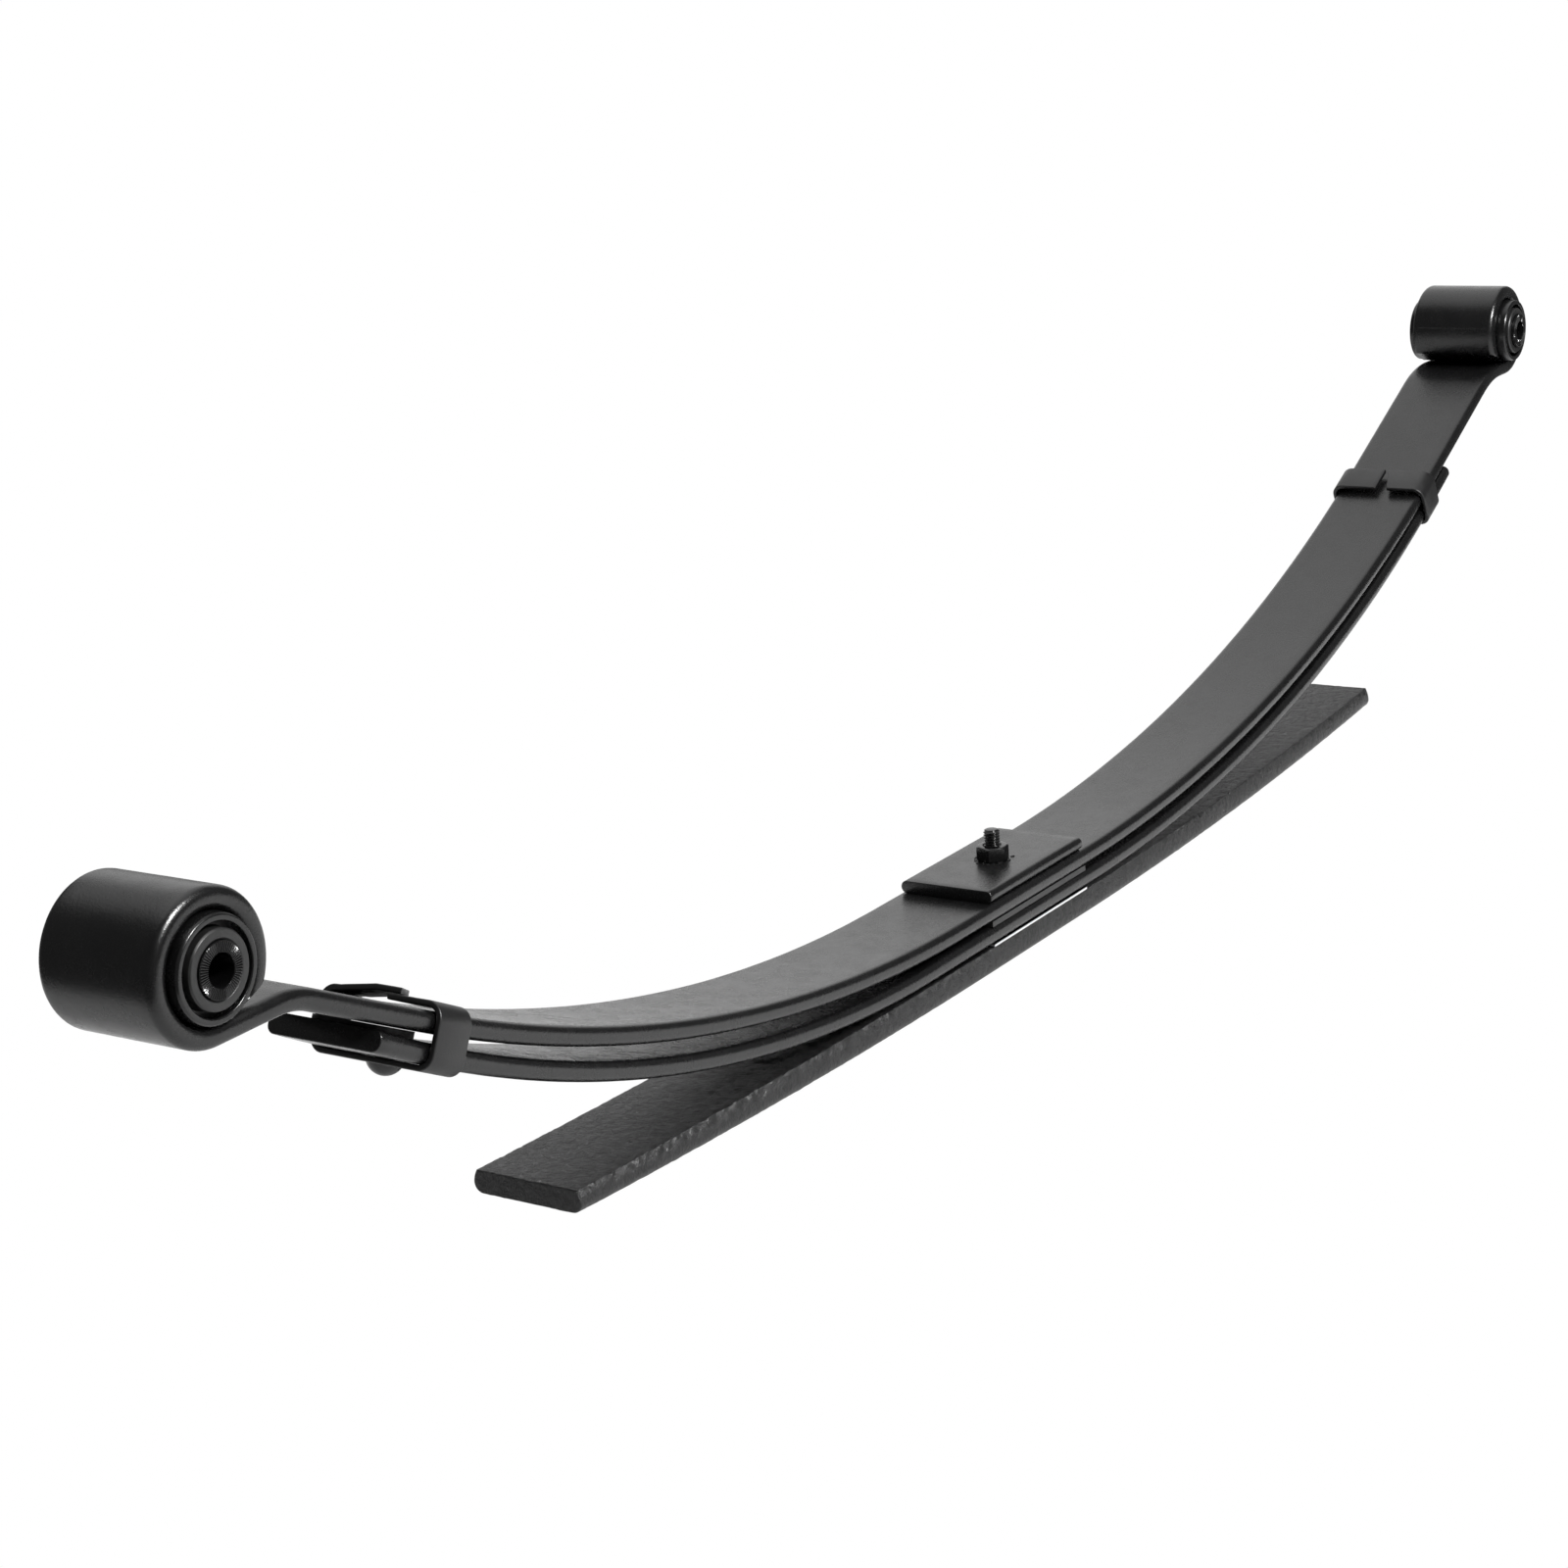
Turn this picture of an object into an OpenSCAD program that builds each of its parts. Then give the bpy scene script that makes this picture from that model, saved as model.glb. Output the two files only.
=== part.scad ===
// Two-stage leaf spring for a light truck: two full-length leaves with rolled
// eyes and rubber bushes, and a thick, nearly straight overload leaf below.
// Units are millimetres. X runs along the spring (front eye at -X), Y across
// the leaves and Z up. The origin is on the centre-bolt axis at the underside
// of the overload leaf, where the spring sits on the axle.

/* [Leaves] */
// Width of all leaves
leaf_w = 60; // [50:1:70]
// Thickness of the main leaf
main_t = 9.3; // [8:0.1:10]
// Thickness of the second leaf
second_t = 9.3; // [8:0.1:10]
// Radius on the long edges of the main and second leaf
edge_r = 4; // [2:0.5:4]
// Thickness of the upper spacer
upper_spacer_t = 3; // [2.5:0.1:4]
// Thickness of the lower spacer
lower_spacer_t = 2; // [1.5:0.1:4]

/* [Front half] */
// Flat length of the main leaf from the bolt to the front arc
front_flat = 80; // [70:1:90]
// Radius of the front arc, on the top of the main leaf
front_radius = 953; // [930:1:1000]
// Slope at the end of the front arc, degrees
front_slope = 26.2; // [25:0.1:27]
// Radius of the reverse bend beside the front eye
front_bend = 46; // [40:1:60]
// Distance from the bolt to the front eye
front_eye_x = 617; // [610:1:630]
// Height of the front eye above the top of the main leaf
front_eye_h = 155; // [150:1:158]

/* [Rear half] */
// Flat length of the main leaf from the bolt to the rear arc
rear_flat = 50; // [50:1:60]
// Radius of the rear arc, on the top of the main leaf
rear_radius = 1205; // [1190:1:1230]
// Slope at the end of the rear arc, degrees
rear_slope = 25.5; // [25:0.1:26]
// Radius of the reverse bend beside the rear eye
rear_bend = 85; // [80:1:128]
// Distance from the bolt to the rear eye
rear_eye_x = 706; // [704:1:720]
// Height of the rear eye above the top of the main leaf
rear_eye_h = 190; // [185:1:191]

/* [Second leaf] */
// Flat length towards the front
second_front_flat = 112; // [108:1:116]
// Radius of the front arc, on the top of the leaf
second_front_radius = 836; // [826:1:846]
// Distance from the bolt to the front tip
second_front_tip = 530; // [525:1:534]
// Flat length towards the rear
second_rear_flat = 60; // [57:1:64]
// Radius of the rear arc, on the top of the leaf
second_rear_radius = 1171; // [1162:1:1180]
// Distance from the bolt to the rear tip
second_rear_tip = 590; // [585:1:593]

/* [Overload leaf] */
// Thickness at the centre
overload_t = 14; // [13:0.5:15]
// Half length of the flat seat
overload_flat = 50; // [40:1:60]
// Distance from the bolt to the front end
overload_front = 418; // [400:1:430]
// Rise of the underside at the front end
overload_front_rise = 11.8; // [9:0.1:13]
// Thickness at the front end
overload_front_t = 11; // [10:0.1:13]
// Distance from the bolt to the rear end
overload_rear = 447; // [430:1:460]
// Rise of the underside at the rear end
overload_rear_rise = 18.2; // [15:0.1:19]
// Thickness at the rear end
overload_rear_t = 12.5; // [11:0.1:13]

/* [Centre plate and bolt] */
// Length of the top plate
plate_l = 102; // [80:1:110]
// Width of the top plate
plate_w = 56; // [50:1:60]
// Thickness of the top plate
plate_t = 7; // [5:0.5:10]
// Length of the spacers
spacer_l = 104; // [90:1:120]
// Diameter of the centre bolt
bolt_d = 9; // [8:0.5:10]
// Thread pitch of the centre bolt
bolt_pitch = 1.5; // [1:0.25:1.75]
// Nut size across flats
nut_af = 16; // [15:0.5:18]
// Height of the nut
nut_h = 8; // [7:0.5:9]
// Bolt length above the nut
bolt_proud = 9; // [6:0.5:12]
// Diameter of the round bolt head
bolt_head_d = 16; // [14:0.5:20]
// Height of the round bolt head
bolt_head_h = 6; // [4:0.5:8]

/* [Eyes and bushes] */
// Inner radius of both rolled eyes
eye_r = 21.7; // [21:0.1:22.5]
// Diameter of the inner tube
tube_d = 22.5; // [20:0.5:24]
// Bore of the inner tube
tube_bore = 13.5; // [12:0.5:15]
// Inner tube length beyond each face of the front eye
front_tube_proud = 5; // [4.5:0.5:8]
// Inner tube length beyond each face of the rear eye
rear_tube_proud = 9; // [8:0.5:11]
// Outer sleeve length beyond each face of the front eye
front_sleeve_proud = 3; // [2:0.5:3.5]
// Outer sleeve length beyond each face of the rear eye
rear_sleeve_proud = 5.5; // [4:0.5:6.5]
// Wall of the outer sleeve
sleeve_wall = 2.4; // [1.5:0.1:3]
// Rubber length beyond each end of the sleeve
rubber_proud = 1; // [0.5:0.5:1.5]
// Serrations on each end of the inner tube
serrations = 36; // [24:1:40]

/* [Clips and pads] */
// Width of the clip straps along the leaf
clip_w = 21; // [18:1:26]
// Thickness of the clip straps
clip_t = 2.7; // [2:0.1:3]
// Distance from the bolt to the front clip
front_clip_x = 494.3; // [490:0.1:496]
// Distance from the bolt to the rear clip
rear_clip_x = 553.8; // [549:0.1:555]
// Smallest gap between the ear ends of the rear clip
ear_gap = 2; // [1:0.5:6]
// Diameter of the tip pads
pad_d = 42; // [36:1:44]
// Centre of each tip pad behind the leaf tip
pad_back = 20; // [19.5:0.5:21]

/* [Hidden] */
$fn = 96;
fit = 0.05;                  // radial running clearance of the bush tubes
join = 0.3;                  // overlap that joins the runs of the main leaf
inset = 0.01;                // how far the straight runs lie inside the arcs
eye_wrap = 338;              // angle the leaf wraps round each bush
eye_tip = 0.85;              // thickness left at the ground tip of each eye
rivet_d = 8;
rivet_head_d = 15;
rivet_head_h = 4.5;
spigot_d = 10;
spigot_h = 4;
front_clip_high = 14.4;       // clear height inside the front clip
rear_clip_high = 15;         // clear height inside the rear clip
clip_bend = 5.4;             // inner bend radius of the clips over the main leaf
ear_lift = clip_t + 0.3;     // rise of an ear that rides over the other one
ear_slant = 6;               // how far the near ear's end slants across the strap
far_slant = 13;              // how far the end of an ear that rides over slants
hole_d = bolt_d + 0.2;       // centre hole through leaves and plates
serration_h = 0.4;           // depth of the serrations

z_lower = overload_t;                     // top of the overload leaf
z_second = z_lower + lower_spacer_t + second_t;   // top of the second leaf
z_main = z_second + upper_spacer_t + main_t;      // top of the main leaf
z_plate = z_main + plate_t;
z_bolt_top = z_plate + nut_h + bolt_proud;

// Facets of a full turn: finer on the long, shallow arcs.
function arc_fn(rad) = rad > 200 ? 360 : 72;

// Straight run between an arc and its reverse bend, and the flat run that
// follows the bend up to the eye, so that the eye lands on its centre.
function run_up(r, a, bend, h) =
    (h - eye_r - (r + bend) * (1 - cos(a))) / sin(a);
function run_flat(flat, r, a, bend, x, h) =
    x - flat - (r + bend) * sin(a) - run_up(r, a, bend, h) * cos(a);

// ---- leaf building blocks ------------------------------------------------

// Cross-section of a leaf: x is depth below the top face, y is width.
module section(t, w, r) {
    translate([0, r - w / 2]) square([t, w - 2 * r]);
    translate([r, -w / 2]) square([t - 2 * r, w]);
    for (x = [r, t - r], y = [r - w / 2, w / 2 - r])
        translate([x, y]) circle(r, $fn = 16);
}

// Straight run of leaf along +X with its top face at z = 0. With a lap it is
// a hair smaller all round and reaches into its neighbours at both ends.
module straight(l, t, w, r, lap = 0) {
    in = lap > 0 ? inset : 0;
    translate([-lap, 0, -in]) rotate([0, 90, 0]) linear_extrude(l + 2 * lap)
        section(t - 2 * in, w - 2 * in, r);
}

// Arc curving upwards; radius is on the top (inner) face.
module arc_up(rad, a, t, w, r) {
    translate([0, 0, rad]) rotate([90, 0, 0]) rotate([0, 0, -90])
        rotate_extrude(angle = a, $fn = arc_fn(rad)) translate([rad, 0]) section(t, w, r);
}

// Arc curving downwards; radius is on the top (outer) face.
module arc_down(rad, a, t, w, r) {
    translate([0, 0, -rad]) rotate([90, 0, 0]) rotate([0, 0, 90 - a])
        rotate_extrude(angle = a, $fn = arc_fn(rad)) translate([rad - t, 0]) section(t, w, r);
}

// Places children at the end of an arc that curves upwards.
module after_up(rad, a) {
    translate([rad * sin(a), 0, rad * (1 - cos(a))]) rotate([0, -a, 0]) children();
}

// Places children at the end of an arc that curves downwards.
module after_down(rad, a) {
    translate([rad * sin(a), 0, -rad * (1 - cos(a))]) rotate([0, a, 0]) children();
}

// Rolled eye: the leaf goes on under the bush and wraps up and back over it.
// The tip is ground to a slant where it comes down on the leaf.
module rolled_eye(t, w, r) {
    tip = eye_wrap - 90;
    difference() {
        arc_up(eye_r, eye_wrap, t, w, r);
        translate([0, 0, eye_r]) rotate([0, 270 - tip, 0])
            translate([-3 * t, -w, -eye_r - eye_tip - 2 * t]) cube([3.5 * t, 2 * w, 2 * t]);
    }
}

// One half of the main leaf, running out along +X from the bolt.
module main_half(flat, rad, a, bend, x, h) {
    up = run_up(rad, a, bend, h);
    level = run_flat(flat, rad, a, bend, x, h);
    straight(flat, main_t, leaf_w, edge_r);
    translate([flat, 0, 0]) {
        arc_up(rad, a, main_t, leaf_w, edge_r);
        after_up(rad, a) {
            straight(up, main_t, leaf_w, edge_r, join);
            translate([up, 0, 0]) {
                arc_down(bend, a, main_t, leaf_w, edge_r);
                after_down(bend, a) {
                    straight(level, main_t, leaf_w, edge_r, join);
                    translate([level, 0, 0]) rolled_eye(main_t, leaf_w, edge_r);
                }
            }
        }
    }
}

// Angle of an arc that starts at flat and reaches distance x.
function arc_angle(flat, rad, x) = asin((x - flat) / rad);

// Places children on the top face of the second leaf, front (-1) or rear (1).
module on_second(side, x) {
    flat = side < 0 ? second_front_flat : second_rear_flat;
    rad = side < 0 ? second_front_radius : second_rear_radius;
    mirror([side < 0 ? 1 : 0, 0, 0]) translate([flat, 0, z_second])
        after_up(rad, arc_angle(flat, rad, x)) children();
}

// ---- leaves --------------------------------------------------------------

module centre_hole() {
    translate([0, 0, -1]) cylinder(h = z_bolt_top, d = hole_d);
}

module main_leaf() {
    color([0.09, 0.09, 0.095]) difference() {
        translate([0, 0, z_main]) {
            main_half(rear_flat, rear_radius, rear_slope, rear_bend, rear_eye_x, rear_eye_h);
            mirror([1, 0, 0]) main_half(front_flat, front_radius, front_slope,
                front_bend, front_eye_x, front_eye_h);
        }
        centre_hole();
    }
}

module second_half(flat, rad, tip) {
    straight(flat, second_t, leaf_w, edge_r);
    translate([flat, 0, 0]) arc_up(rad, arc_angle(flat, rad, tip), second_t, leaf_w, edge_r);
}

// Hole for a clip rivet, countersunk into the top of the second leaf.
module rivet_hole() {
    translate([0, 0, -second_t - clip_t - 1])
        cylinder(h = second_t + clip_t + 3, d = rivet_d + 0.2);
    translate([0, 0, -2.5]) cylinder(h = 3, d1 = rivet_d, d2 = rivet_d + 6);
}

// Blind hole for the spigot of a tip pad.
module spigot_hole() {
    translate([0, 0, -spigot_h - 0.5]) cylinder(h = spigot_h + 3, d = spigot_d + 0.3);
}

module second_leaf() {
    color([0.08, 0.08, 0.085]) difference() {
        translate([0, 0, z_second]) {
            second_half(second_rear_flat, second_rear_radius, second_rear_tip);
            mirror([1, 0, 0]) second_half(second_front_flat, second_front_radius,
                second_front_tip);
        }
        centre_hole();
        on_second(-1, front_clip_x) rivet_hole();
        on_second(1, rear_clip_x) rivet_hole();
        on_second(-1, second_front_tip - pad_back) spigot_hole();
        on_second(1, second_rear_tip - pad_back) spigot_hole();
    }
}

// Space below the top face of the overload leaf, with its small top radius.
module overload_above(t) {
    r = 1.5;
    translate([r, -leaf_w / 2]) square([t - r, leaf_w]);
    translate([0, r - leaf_w / 2]) square([t, leaf_w - 2 * r]);
    for (s = [-1, 1]) translate([r, s * (leaf_w / 2 - r)]) circle(r, $fn = 48);
}

// Space above its lower face: wider than the leaf, with a large corner
// radius that runs out through the side faces.
module overload_below(t) {
    r = 5;
    side = leaf_w / 2 - r + 0.3;
    translate([-t, -leaf_w / 2 - 2]) square([2 * t - r, leaf_w + 4]);
    translate([-t, -side]) square([2 * t, 2 * side]);
    for (s = [-1, 1]) translate([t - r, s * side]) circle(r, $fn = 48);
}

// Radius of an arc that rises by h over the distance l.
function rise_radius(l, h) = (l * l + h * h) / (2 * h);

// Tapered arm: the space below the top arc that lies above the lower arc.
module overload_arm(l, rise, t) {
    r_top = rise_radius(l, rise + t - overload_t);
    r_low = rise_radius(l, rise);
    intersection() {
        translate([-0.01, 0, r_top]) rotate([90, 0, 0]) rotate([0, 0, -90])
            rotate_extrude(angle = asin(l / r_top), $fn = 360)
                translate([r_top, 0]) overload_above(2 * overload_t);
        translate([-0.01, 0, r_low - overload_t]) rotate([90, 0, 0]) rotate([0, 0, -90])
            rotate_extrude(angle = asin(1.05 * l / r_low), $fn = 360)
                translate([r_low - overload_t, 0]) overload_below(overload_t);
    }
}

module overload_leaf() {
    color([0.07, 0.07, 0.075]) difference() {
        translate([0, 0, overload_t]) {
            translate([-overload_flat, 0, 0]) rotate([0, 90, 0])
                linear_extrude(2 * overload_flat) intersection() {
                    overload_above(2 * overload_t);
                    overload_below(overload_t);
                }
            translate([overload_flat, 0, 0]) overload_arm(overload_rear - overload_flat,
                overload_rear_rise, overload_rear_t);
            mirror([1, 0, 0]) translate([overload_flat, 0, 0])
                overload_arm(overload_front - overload_flat,
                    overload_front_rise, overload_front_t);
        }
        centre_hole();
    }
}

// ---- centre of the spring ------------------------------------------------

module top_plate() {
    color([0.1, 0.1, 0.105]) difference() {
        translate([-plate_l / 2, 0, z_plate])
            straight(plate_l, plate_t, plate_w, plate_t / 2 - 0.1);
        centre_hole();
    }
}

module spacer(z, t, w) {
    difference() {
        translate([-spacer_l / 2, -w / 2, z - t]) cube([spacer_l, w, t]);
        centre_hole();
    }
}

module upper_spacer() {
    color([0.12, 0.12, 0.125]) spacer(z_main - main_t, upper_spacer_t, leaf_w - 3);
}

module lower_spacer() {
    color([0.85, 0.86, 0.87]) spacer(z_second - second_t, lower_spacer_t, leaf_w - 2);
}

// Bolt with a round head below and a thread that stands up through the nut.
module centre_bolt() {
    r = bolt_d / 2;
    root = r - 0.55 * bolt_pitch;
    z0 = z_plate + nut_h - bolt_pitch;
    turns = floor((bolt_proud + bolt_pitch) / bolt_pitch) - 1;
    thread = [for (i = [0 : turns - 1]) for (k = [0, 1])
        [k == 0 ? root : r, z0 + (i + 0.5 * (k + 1)) * bolt_pitch]];
    color([0.1, 0.1, 0.105]) {
        translate([0, 0, -bolt_head_h]) cylinder(h = 1, d1 = bolt_head_d - 2, d2 = bolt_head_d);
        translate([0, 0, 1 - bolt_head_h]) cylinder(h = bolt_head_h - 1, d = bolt_head_d);
        rotate_extrude() polygon(concat([[0, -bolt_head_h / 2], [r, -bolt_head_h / 2], [r, z0]],
            thread, [[root, z_bolt_top - 0.4], [root - 0.6, z_bolt_top], [0, z_bolt_top]]));
    }
}

module centre_nut() {
    color([0.1, 0.1, 0.105]) translate([0, 0, z_plate]) difference() {
        intersection() {
            rotate([0, 0, 43]) cylinder(h = nut_h, d = nut_af / cos(30), $fn = 6);
            union() {
                cylinder(h = nut_h - 1.2, d = nut_af / cos(30) + 1);
                translate([0, 0, nut_h - 1.2])
                    cylinder(h = 1.2, d1 = nut_af / cos(30) + 0.4, d2 = nut_af - 1);
            }
        }
        translate([0, 0, -1]) cylinder(h = nut_h + 2, d = bolt_d + 0.1);
    }
}

// ---- clips, rivets and pads ----------------------------------------------

// Rounded box outline in the plane across the leaf.
module clip_outline(w, z0, z1, r_low, r_top) {
    translate([-w / 2, z0 + r_low]) square([w, z1 - z0 - r_low - r_top]);
    translate([r_low - w / 2, z0]) square([w - 2 * r_low, r_low]);
    translate([r_top - w / 2, z1 - r_top]) square([w - 2 * r_top, r_top]);
    for (s = [-1, 1]) {
        translate([s * (w / 2 - r_low), z0 + r_low]) circle(r_low);
        translate([s * (w / 2 - r_top), z1 - r_top]) circle(r_top);
    }
}

// Far ear that rises from its corner and lies over the near one. Its root
// lies a hair inside the strap.
module raised_ear(high, far) {
    corner = (leaf_w + 0.8) / 2 - clip_bend;
    polygon([[corner - 0.2, high + 0.05], [corner - 2, high], [4, high + ear_lift],
        [far, high + ear_lift], [far, high + ear_lift + clip_t],
        [4, high + ear_lift + clip_t], [corner - 2, high + clip_t],
        [corner - 0.2, high + clip_t - 0.05]]);
}

// Strap bent round the leaf pair, with two ears over the main leaf that end
// at near and far. high is the clear height above the top of the second leaf.
// An ear whose end lies beyond the near one rides over it.
module clip(high, near, far) {
    low = -second_t - 0.05;
    wide = leaf_w + 0.8;
    over = far < near;
    difference() {
        translate([-clip_w / 2, 0, 0]) rotate([90, 0, 90]) {
            linear_extrude(clip_w) difference() {
                clip_outline(wide + 2 * clip_t, low - clip_t, high + clip_t,
                    4.4 + clip_t, clip_bend + clip_t);
                clip_outline(wide, low, high, 4.4, clip_bend);
                translate([near, high - 1])
                    square([(over ? wide / 2 - clip_bend - 1 : far) - near, clip_t + 2]);
            }
            if (over) linear_extrude(clip_w) raised_ear(high, far);
        }
        if (over) translate([0, far, high + clip_t + 0.15]) linear_extrude(clip_t + 1) polygon([
            [clip_w / 2, -1], [-clip_w / 2 - 1, -1],
            [-clip_w / 2 - 1, far_slant * (1 + 1 / clip_w)], [clip_w / 2, 0]]);
        translate([0, near, high - 1]) linear_extrude(clip_t + 1.15) polygon([
            [clip_w / 2, 0], [clip_w / 2 + 1, 0.1], [-clip_w / 2 - 1, 0.1],
            [-clip_w / 2 - 1, -ear_slant]]);
        rivet_hole();
    }
}

module front_clip() {
    color([0.09, 0.09, 0.095]) on_second(-1, front_clip_x) clip(front_clip_high, -3, -10);
}

module rear_clip() {
    color([0.09, 0.09, 0.095]) on_second(1, rear_clip_x)
        clip(rear_clip_high, 1 - ear_gap, 1);
}

// Rivet with a domed head below and a countersunk head flush above.
module rivet() {
    low = -second_t - clip_t - 0.05;
    ball = (rivet_head_d * rivet_head_d / 4 + rivet_head_h * rivet_head_h)
        / (2 * rivet_head_h);
    translate([0, 0, low]) cylinder(h = -low - 0.1, d = rivet_d);
    translate([0, 0, -2.5]) cylinder(h = 2.4, d1 = rivet_d, d2 = rivet_d + 4.8);
    intersection() {
        translate([0, 0, low - rivet_head_h + ball]) sphere(ball);
        translate([0, 0, low - rivet_head_h - 1]) cylinder(h = rivet_head_h + 1, d = 2 * ball);
    }
}

module clip_rivets() {
    color([0.1, 0.1, 0.105]) {
        on_second(-1, front_clip_x) rivet();
        on_second(1, rear_clip_x) rivet();
    }
}

// Round pad between the second leaf and the main leaf, with a spigot below.
// Its top face is parallel to the underside of the main leaf.
module tip_pad(side, tip, m_flat, m_rad, m_slope) {
    on_second(side, tip - pad_back)
        translate([0, 0, -spigot_h]) cylinder(h = spigot_h + 1, d = spigot_d);
    intersection() {
        on_second(side, tip - pad_back) translate([0, 0, 0.25]) cylinder(h = 9, d = pad_d);
        mirror([side < 0 ? 1 : 0, 0, 0]) translate([m_flat, 0, z_main])
            after_up(m_rad, m_slope) translate([-60, -leaf_w / 2, -main_t - 20])
                cube([100, leaf_w, 20 - 0.15]);
    }
}

module front_tip_pad() {
    color([0.16, 0.16, 0.16]) tip_pad(-1, second_front_tip,
        front_flat, front_radius, front_slope);
}

module rear_tip_pad() {
    color([0.16, 0.16, 0.16]) tip_pad(1, second_rear_tip,
        rear_flat, rear_radius, rear_slope);
}

// ---- bushes --------------------------------------------------------------

module at_front_eye() {
    translate([-front_eye_x, 0, z_main + front_eye_h]) rotate([90, 0, 0]) children();
}

module at_rear_eye() {
    translate([rear_eye_x, 0, z_main + rear_eye_h]) rotate([90, 0, 0]) children();
}

// Outer sleeve pressed into the eye, with its ends rolled inwards.
module bush_sleeve(proud) {
    h = leaf_w / 2;
    e = h + proud;
    inner = eye_r - sleeve_wall;
    rotate_extrude() polygon([
        [inner, -h + 1], [inner - 1.2, 0.8 - e], [inner - 0.8, -e], [eye_r - 2, -e],
        [eye_r - 1.4, 0.7 - e], [eye_r, 1 - h], [eye_r, h - 1], [eye_r - 1.4, e - 0.7],
        [eye_r - 2, e], [inner - 0.8, e], [inner - 1.2, e - 0.8], [inner, h - 1]]);
}

// Rubber between sleeve and tube, with a raised disc at each end.
module bush_rubber(proud) {
    h = leaf_w / 2;
    e = h + proud + rubber_proud;
    inner = tube_d / 2 + fit;
    disc = 0.7 * tube_d;
    rotate_extrude() polygon([
        [inner, 0.6 - e], [inner + 0.8, -e], [disc - 0.6, -e], [disc, 0.6 - e], [disc, 3 - h],
        [eye_r - sleeve_wall, 3 - h], [eye_r - sleeve_wall, h - 3], [disc, h - 3],
        [disc, e - 0.6], [disc - 0.6, e], [inner + 0.8, e], [inner, e - 0.6]]);
}

// Inner tube with radial serrations on both end faces.
module bush_tube(proud) {
    e = leaf_w / 2 + proud;
    r = tube_d / 2;
    b = tube_bore / 2;
    slope = tan(90 / serrations);
    difference() {
        rotate_extrude() polygon([[b, -e], [r, -e], [r, e], [b, e]]);
        for (s = [-1, 1], i = [0 : serrations - 1])
            rotate([0, 0, i * 360 / serrations]) translate([0, 0, s * e - serration_h])
                linear_extrude(2 * serration_h) polygon([[b - 2, (2 - b) * slope],
                    [r + 1, -(r + 1) * slope], [r + 1, (r + 1) * slope], [b - 2, (b - 2) * slope]]);
    }
}

module front_bush_sleeve() { color([0.1, 0.1, 0.105]) at_front_eye() bush_sleeve(front_sleeve_proud); }
module front_bush_rubber() { color([0.07, 0.07, 0.07]) at_front_eye() bush_rubber(front_sleeve_proud); }
module front_bush_tube() { color([0.15, 0.15, 0.155]) at_front_eye() bush_tube(front_tube_proud); }
module rear_bush_sleeve() { color([0.1, 0.1, 0.105]) at_rear_eye() bush_sleeve(rear_sleeve_proud); }
module rear_bush_rubber() { color([0.07, 0.07, 0.07]) at_rear_eye() bush_rubber(rear_sleeve_proud); }
module rear_bush_tube() { color([0.15, 0.15, 0.155]) at_rear_eye() bush_tube(rear_tube_proud); }

main_leaf();
second_leaf();
overload_leaf();
top_plate();
upper_spacer();
lower_spacer();
centre_bolt();
centre_nut();
front_clip();
rear_clip();
clip_rivets();
front_tip_pad();
rear_tip_pad();
front_bush_sleeve();
front_bush_rubber();
front_bush_tube();
rear_bush_sleeve();
rear_bush_rubber();
rear_bush_tube();
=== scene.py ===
import math

import bmesh
import bpy
from mathutils import Matrix, Vector, noise


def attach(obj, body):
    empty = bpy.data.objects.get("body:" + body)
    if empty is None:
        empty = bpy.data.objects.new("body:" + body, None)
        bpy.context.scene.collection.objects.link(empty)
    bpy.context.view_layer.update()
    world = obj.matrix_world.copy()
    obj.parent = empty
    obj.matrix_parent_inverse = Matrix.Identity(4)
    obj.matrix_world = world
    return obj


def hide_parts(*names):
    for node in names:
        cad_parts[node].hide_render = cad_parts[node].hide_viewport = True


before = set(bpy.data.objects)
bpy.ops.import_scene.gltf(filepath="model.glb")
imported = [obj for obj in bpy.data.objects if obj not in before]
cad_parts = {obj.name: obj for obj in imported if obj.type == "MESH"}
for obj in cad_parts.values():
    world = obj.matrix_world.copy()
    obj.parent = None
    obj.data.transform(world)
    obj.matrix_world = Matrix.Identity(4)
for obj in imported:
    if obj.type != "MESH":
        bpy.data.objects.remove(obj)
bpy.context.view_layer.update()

noise.seed_set(1)       # without a seed, noise_vector starts from the clock

# Everything below is in millimetres in the row frame, and MM turns it into
# metres as each mesh is made. The sizes are those of part.scad.
MM = 0.001
LEAF_W = 60.0
HALF = LEAF_W / 2
MAIN_T = SECOND_T = 9.3
EDGE_R = 4.0
# heights of the top faces of the three leaves and the plate at the centre bolt
Z_OVERLOAD, Z_SECOND, Z_MAIN, Z_PLATE = 14.0, 25.3, 37.6, 44.6
EYE_R, EYE_WRAP, EYE_TIP = 21.7, 338.0, 0.85
FRONT = dict(flat=80.0, rad=953.0, slope=26.2, bend=46.0, x=617.0, h=155.0)
REAR = dict(flat=50.0, rad=1205.0, slope=25.5, bend=85.0, x=706.0, h=190.0)
FRONT_EYE = (-FRONT["x"], 0.0, Z_MAIN + FRONT["h"])
REAR_EYE = (REAR["x"], 0.0, Z_MAIN + REAR["h"])
SECOND_FRONT = dict(flat=112.0, rad=836.0, tip=530.0)
SECOND_REAR = dict(flat=60.0, rad=1171.0, tip=590.0)
OVERLOAD_FLAT = 50.0
OVERLOAD_FRONT = dict(end=418.0, rise=11.8, t=11.0)
OVERLOAD_REAR = dict(end=447.0, rise=18.2, t=12.5)
PLATE_L, PLATE_W, PLATE_T = 102.0, 56.0, 7.0
BOLT_R, PITCH, BOLT_PROUD = 4.5, 1.5, 9.0
HEAD_R, HEAD_H = 8.0, 6.0
NUT_AF, NUT_H = 16.0, 8.0
FRONT_CLIP_X, REAR_CLIP_X = 494.3, 553.8
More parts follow.
